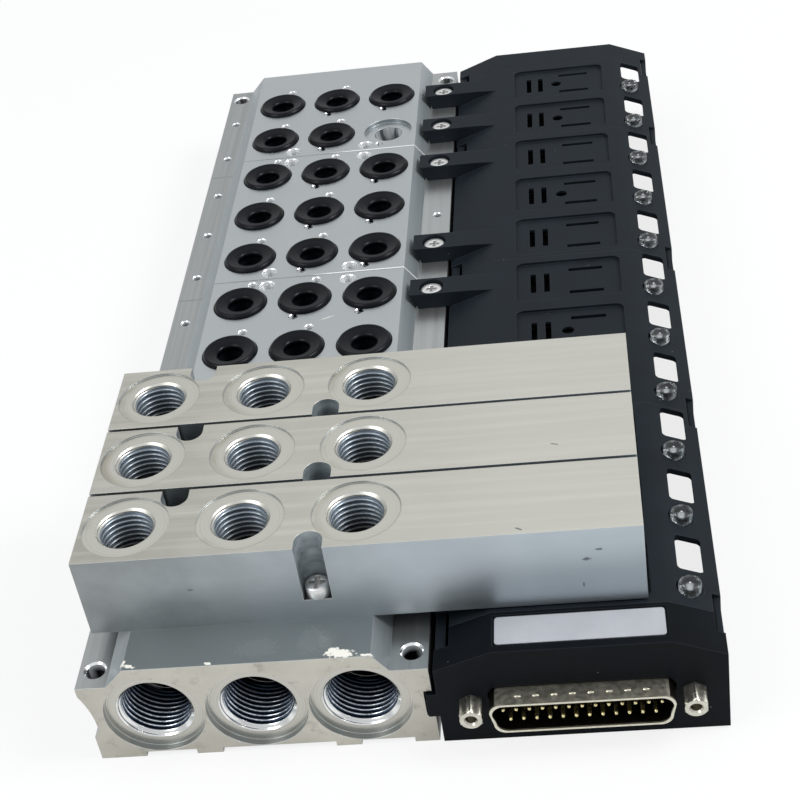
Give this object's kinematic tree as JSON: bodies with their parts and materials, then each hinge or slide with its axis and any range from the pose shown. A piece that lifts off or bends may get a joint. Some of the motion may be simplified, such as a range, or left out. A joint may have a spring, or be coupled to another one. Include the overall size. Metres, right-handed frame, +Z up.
{
  "type": "valve island",
  "caption": "Aluminium valve manifold with rows of rubber-sealed seats, drilled supply blocks across one end, and a slotted black electrical housing with a multi-pin plug along one side.",
  "frame": {"origin": "centre of the four mounting holes on the plane of the base; X is 0 at the middle column of seats", "axes": "+Z up from the base, +X from the plain flange to the electrical housing, -Y towards the end with the open ports and the multipole plug"},
  "size_m": [0.1392, 0.2808, 0.0475],
  "materials": {
    "manifold_aluminium": "fine milled, light bluish grey",
    "block_aluminium": "fine milled, warm grey",
    "screw_steel": "bright nickel-plated steel",
    "seal_rubber": "matte black rubber",
    "housing_plastic": "fine-grained black plastic",
    "plate_plastic": "black plastic",
    "board_laminate": "green board with solder resist",
    "insulator_plastic": "black plastic",
    "clear_lens": "clear moulded plastic",
    "lamp_resin": "small lamp in clear resin",
    "plug_brass": "plated plug",
    "connector_steel": "dull nickel or tin plate",
    "contact_gold": "gold-plated contacts",
    "label_film": "plain silver-white film"
  },
  "bodies": {
    "root": {"arm_screws": "screw_steel", "board_links": "insulator_plastic", "board_screws": "screw_steel", "bottom_plate_1": "plate_plastic", "bottom_plate_2": "plate_plastic", "bottom_plate_3": "plate_plastic", "bottom_plate_4": "plate_plastic", "channel_rings": "seal_rubber", "circuit_board_1": "board_laminate", "circuit_board_2": "board_laminate", "circuit_board_3": "board_laminate", "circuit_board_4": "board_laminate", "coil_sockets": "insulator_plastic", "connector_board": "board_laminate", "connector_insulator": "insulator_plastic", "connector_jack_screws": "connector_steel", "connector_pins": "contact_gold", "connector_shell": "connector_steel", "cover_module_1": "housing_plastic", "cover_module_2": "housing_plastic", "cover_module_3": "housing_plastic", "cover_module_4": "housing_plastic", "far_end_cap": "housing_plastic", "far_port_plugs": "plug_brass", "joint_grub_screws": "screw_steel", "joint_pins": "screw_steel", "label_plate": "label_film", "light_guides": "clear_lens", "manifold_module_1": "manifold_aluminium", "manifold_module_2": "manifold_aluminium", "manifold_module_3": "manifold_aluminium", "manifold_module_4": "manifold_aluminium", "near_end_cap": "housing_plastic", "seals_position_1": "seal_rubber", "seals_position_10": "seal_rubber", "seals_position_11": "seal_rubber", "seals_position_2": "seal_rubber", "seals_position_3": "seal_rubber", "seals_position_4": "seal_rubber", "seals_position_5": "seal_rubber", "seals_position_6": "seal_rubber", "seals_position_7": "seal_rubber", "seals_position_8": "seal_rubber", "seals_position_9": "seal_rubber", "side_clips": "housing_plastic", "status_lamps": "lamp_resin", "supply_block_1": "block_aluminium", "supply_block_2": "block_aluminium", "supply_block_3": "block_aluminium", "supply_block_screws": "screw_steel"}
  },
  "joints": []
}
